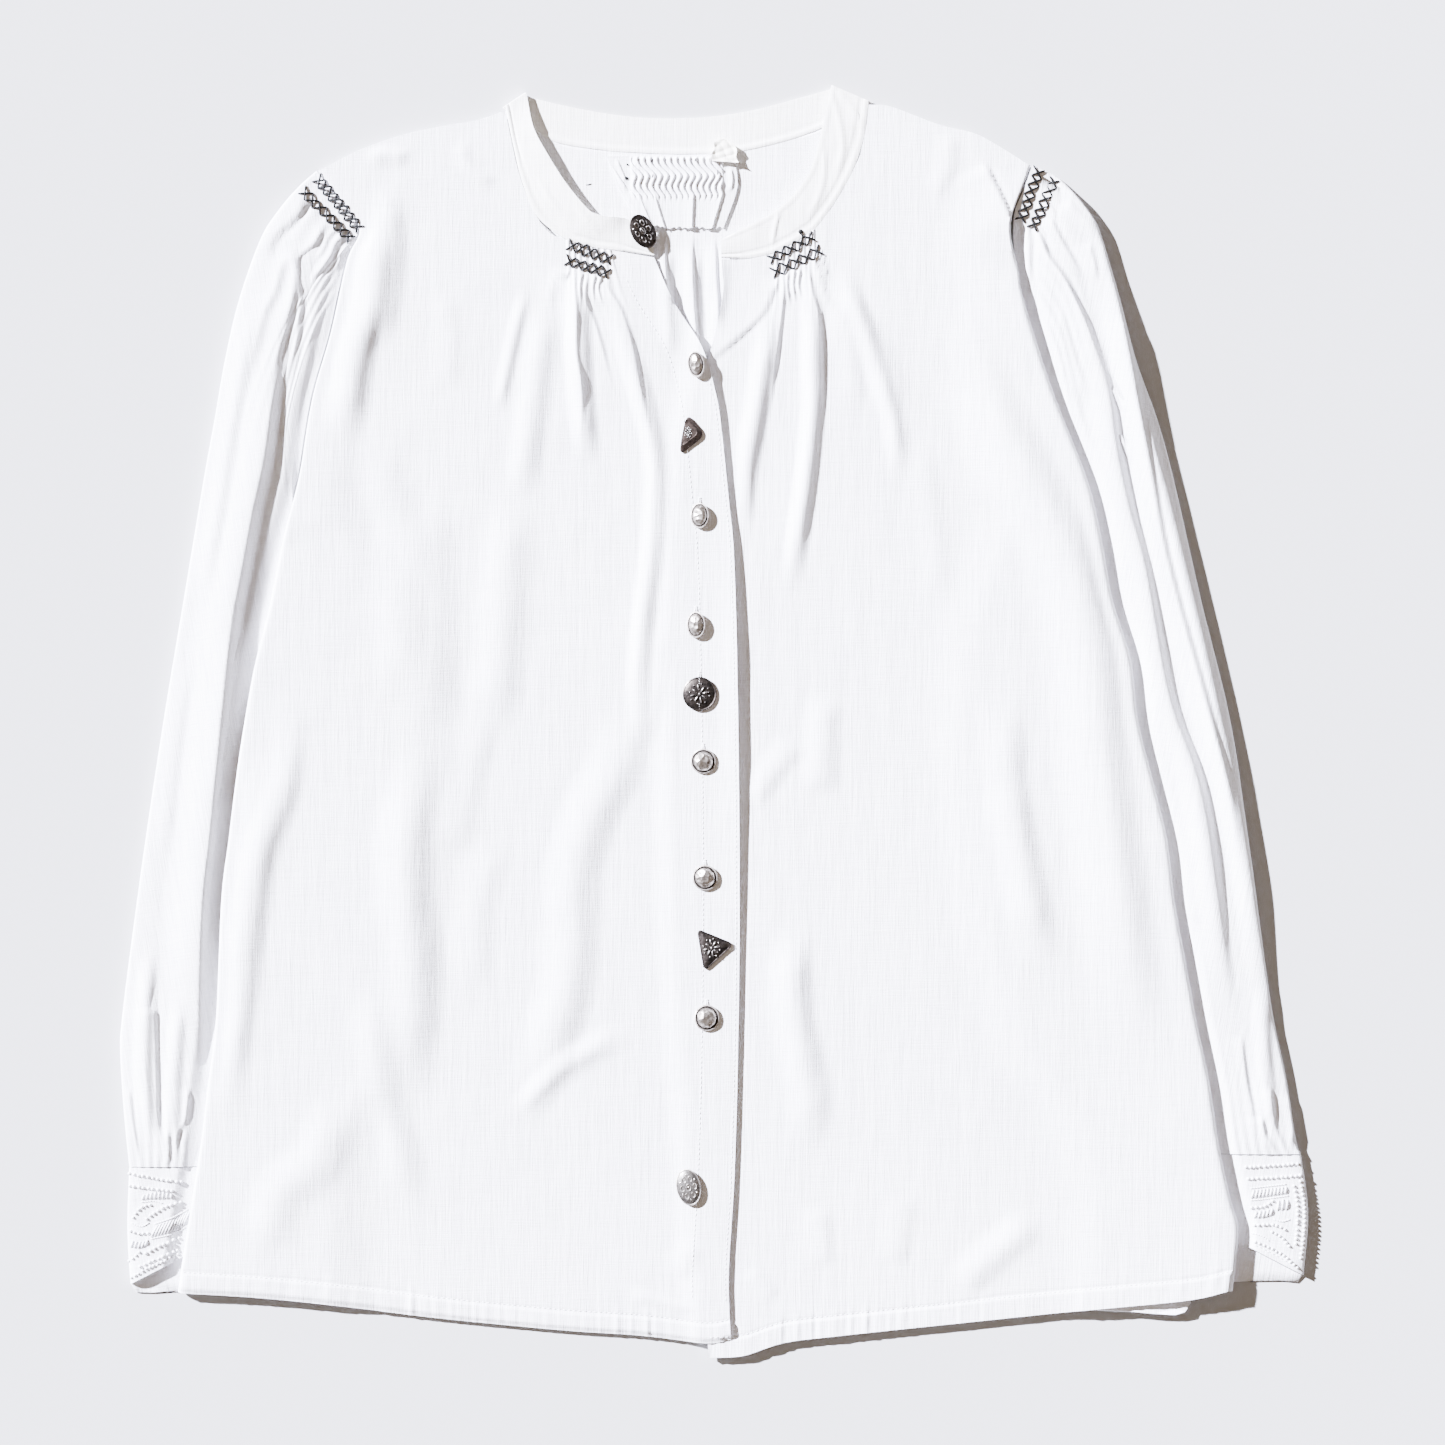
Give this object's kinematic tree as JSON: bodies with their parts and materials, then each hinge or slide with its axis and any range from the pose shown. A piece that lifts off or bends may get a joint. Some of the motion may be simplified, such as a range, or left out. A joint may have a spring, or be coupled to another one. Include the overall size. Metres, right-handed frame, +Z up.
{
  "type": "smocked folk shirt",
  "caption": "Long-sleeved collarless shirt laid flat and buttoned, smocked at neck, sleeve heads and cuffs, with shaped cuffs and mixed shank buttons.",
  "frame": {"origin": "middle of the garment's outline, on the surface it lies on", "axes": "+X to the viewer's right, which is the wearer's left; +Y along the garment from hem to neck; +Z up out of the cloth's front"},
  "size_m": [0.6536, 0.7002, 0.0148],
  "materials": {
    "linen": "matt white slubby plain weave",
    "band_linen": "matt off-white plain weave",
    "label_cloth": "matt cream tape",
    "metal": "aged silver, relief worn bright",
    "dark_metal": "dark aged silver, relief worn bright"
  },
  "bodies": {
    "root": {"back": "linen", "front_right": "linen", "front_left": "linen", "sleeve_right": "linen", "sleeve_left": "linen", "cuff_right": "linen", "cuff_left": "linen", "smocking_backing": "linen", "neckband": "band_linen", "label": "label_cloth", "button_01": "dark_metal", "button_02": "metal", "button_03": "metal", "button_04": "metal", "button_05": "metal", "button_06": "dark_metal", "button_07": "metal", "button_08": "metal", "button_09": "dark_metal", "button_10": "metal", "button_11": "metal"}
  },
  "joints": []
}
